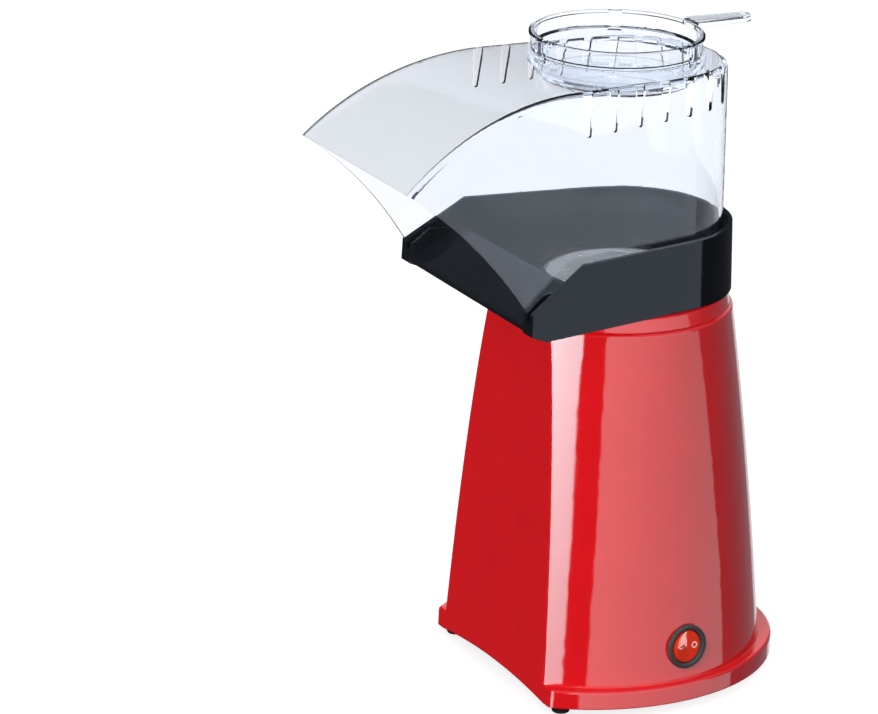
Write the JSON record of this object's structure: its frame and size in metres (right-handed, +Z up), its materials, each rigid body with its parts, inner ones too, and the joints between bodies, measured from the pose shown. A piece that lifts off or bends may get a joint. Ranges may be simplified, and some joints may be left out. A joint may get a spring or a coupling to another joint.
{
  "type": "popcorn maker",
  "caption": "Hot-air popcorn maker: tapered tower with fan, heater and popping chamber, spout tray, clear lift-off hood, clear measuring cup and rocker switch.",
  "frame": {"origin": "on the floor, below the axis of the measuring cup", "axes": "+Z up, -Y towards the spout, +X towards the side with the rocker switch"},
  "size_m": [0.163, 0.2428, 0.3386],
  "materials": {
    "red_gloss": "high gloss, dyed through",
    "black_gloss": "high gloss",
    "clear_plastic": "clear, polished",
    "black_matte": "fine moulded texture",
    "switch_black": "satin",
    "rocker_red": "translucent red, gloss",
    "foot_rubber": "soft matt rubber",
    "gasket_silicone": "matt silicone",
    "screw_steel": "zinc plated",
    "chamber_aluminium": "spun, satin",
    "shield_steel": "plain sheet",
    "coil_wire": "resistance wire, oxidised",
    "mica": "matt mica sheet",
    "brass": "plain",
    "motor_steel": "zinc plated can",
    "magnet": "sintered ferrite",
    "rotor": "laminations and windings",
    "white_plastic": "satin moulding",
    "duct_plastic": "heat resistant moulding",
    "board": "phenolic board",
    "diode": "epoxy body",
    "lead_insulation": "silicone sleeve"
  },
  "bodies": {
    "base": {"body_shell": "red_gloss", "base_plate": "black_matte", "feet": "foot_rubber", "base_screws": "screw_steel", "cord_gland": "black_matte", "switch_housing": "switch_black", "switch_terminals": "brass", "chamber_gasket": "gasket_silicone", "popping_chamber": "chamber_aluminium", "heat_shield": "shield_steel", "heater_coils": "coil_wire", "mica_board_x": "mica", "mica_board_y": "mica", "thermostat": "black_matte", "thermal_fuse": "screw_steel", "fan_shroud": "duct_plastic", "motor_mount": "duct_plastic", "shroud_screws": "screw_steel", "motor_can": "motor_steel", "motor_magnets": "magnet", "motor_end_cap": "white_plastic", "motor_bushes": "brass", "motor_screws": "screw_steel", "rectifier_board": "board", "rectifier_diodes": "diode", "supply_lead": "lead_insulation", "motor_lead": "lead_insulation", "heater_lead": "lead_insulation"},
    "fan": {"motor_shaft": "screw_steel", "motor_rotor": "rotor", "fan_impeller": "white_plastic"},
    "rocker": {"switch_rocker": "rocker_red"},
    "tray": {"spout_tray": "black_gloss"},
    "hood_cover": {"hood": "clear_plastic"},
    "cup": {"measuring_cup": "clear_plastic"}
  },
  "joints": [
    {"name": "fan_spin", "type": "hinge", "parent": "base", "child": "fan", "pos_m": [0, 0.0112, 0.07], "axis": [0, 0, 1], "continuous": true},
    {"name": "rocker_turn", "type": "hinge", "parent": "base", "child": "rocker", "pos_m": [0.07471, 0.01002, 0.03243], "axis": [-0.0747, -0.0062, 0.9972], "range_deg": [-16, 0]},
    {"name": "tray_lift", "type": "slide", "parent": "base", "child": "tray", "axis": [0, 0, 1], "range_m": [0, 0.04]},
    {"name": "hood_lift", "type": "slide", "parent": "tray", "child": "hood_cover", "axis": [0, 0, 1], "range_m": [0, 0.06]},
    {"name": "cup_lift", "type": "slide", "parent": "hood_cover", "child": "cup", "axis": [0, 0, 1], "range_m": [0, 0.05]}
  ]
}
